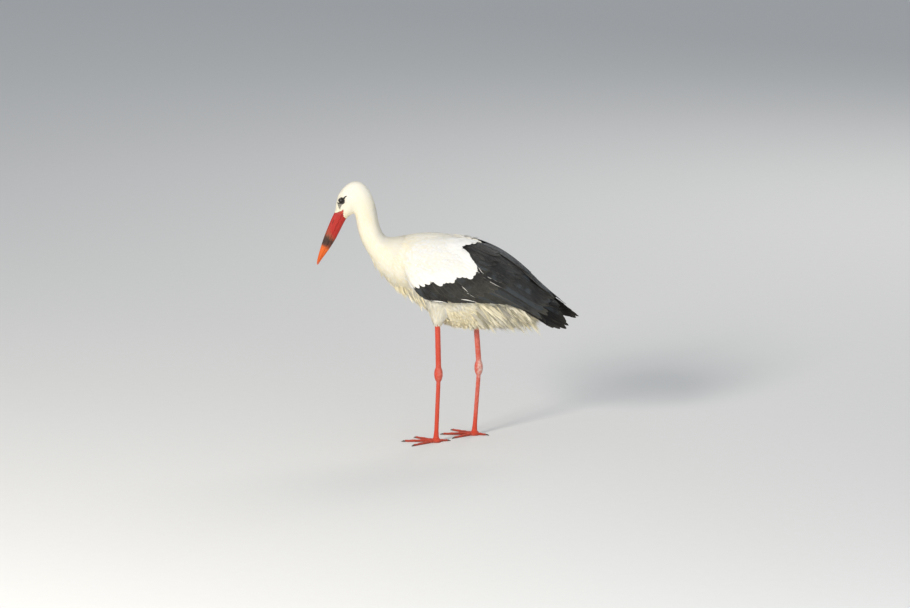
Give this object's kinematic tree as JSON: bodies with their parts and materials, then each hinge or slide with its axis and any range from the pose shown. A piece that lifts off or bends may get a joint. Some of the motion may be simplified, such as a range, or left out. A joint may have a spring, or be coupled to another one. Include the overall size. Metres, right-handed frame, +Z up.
{
  "type": "white stork",
  "caption": "Life-size white stork standing with its bill lowered, white with black flight feathers and red bill and legs, a still display model",
  "frame": {"origin": "the middle of the model's box, on the floor", "axes": "the bird faces -X, its left side is towards -Y, +Z is up"},
  "size_m": [0.8246, 0.233, 0.815],
  "materials": {
    "white_feather": "soft white to cream plumage",
    "black_feather": "black flight feathers with a faint green and violet gloss",
    "bill_horn": "satin red horn, dusky in the middle",
    "leg_skin": "scaled red skin",
    "claw": "dull horn",
    "eye": "clear wet gloss over a dark iris"
  },
  "bodies": {
    "root": {"head": "white_feather", "neck_upper": "white_feather", "neck_lower": "white_feather", "trunk": "white_feather", "tail": "white_feather", "bill_upper": "bill_horn", "bill_lower": "bill_horn", "eye_left": "eye", "eye_right": "eye", "wing_left_coverts": "white_feather", "wing_left_tertials": "black_feather", "wing_left_secondaries": "black_feather", "wing_left_primaries": "black_feather", "wing_right_coverts": "white_feather", "wing_right_tertials": "black_feather", "wing_right_secondaries": "black_feather", "wing_right_primaries": "black_feather", "thigh_left": "white_feather", "shank_left": "leg_skin", "ankle_left": "leg_skin", "tarsus_left": "leg_skin", "foot_left": "leg_skin", "toe_left_inner": "leg_skin", "claw_left_inner": "claw", "toe_left_middle": "leg_skin", "claw_left_middle": "claw", "toe_left_outer": "leg_skin", "claw_left_outer": "claw", "toe_left_hind": "leg_skin", "claw_left_hind": "claw", "thigh_right": "white_feather", "shank_right": "leg_skin", "ankle_right": "leg_skin", "tarsus_right": "leg_skin", "foot_right": "leg_skin", "toe_right_inner": "leg_skin", "claw_right_inner": "claw", "toe_right_middle": "leg_skin", "claw_right_middle": "claw", "toe_right_outer": "leg_skin", "claw_right_outer": "claw", "toe_right_hind": "leg_skin", "claw_right_hind": "claw"}
  },
  "joints": []
}
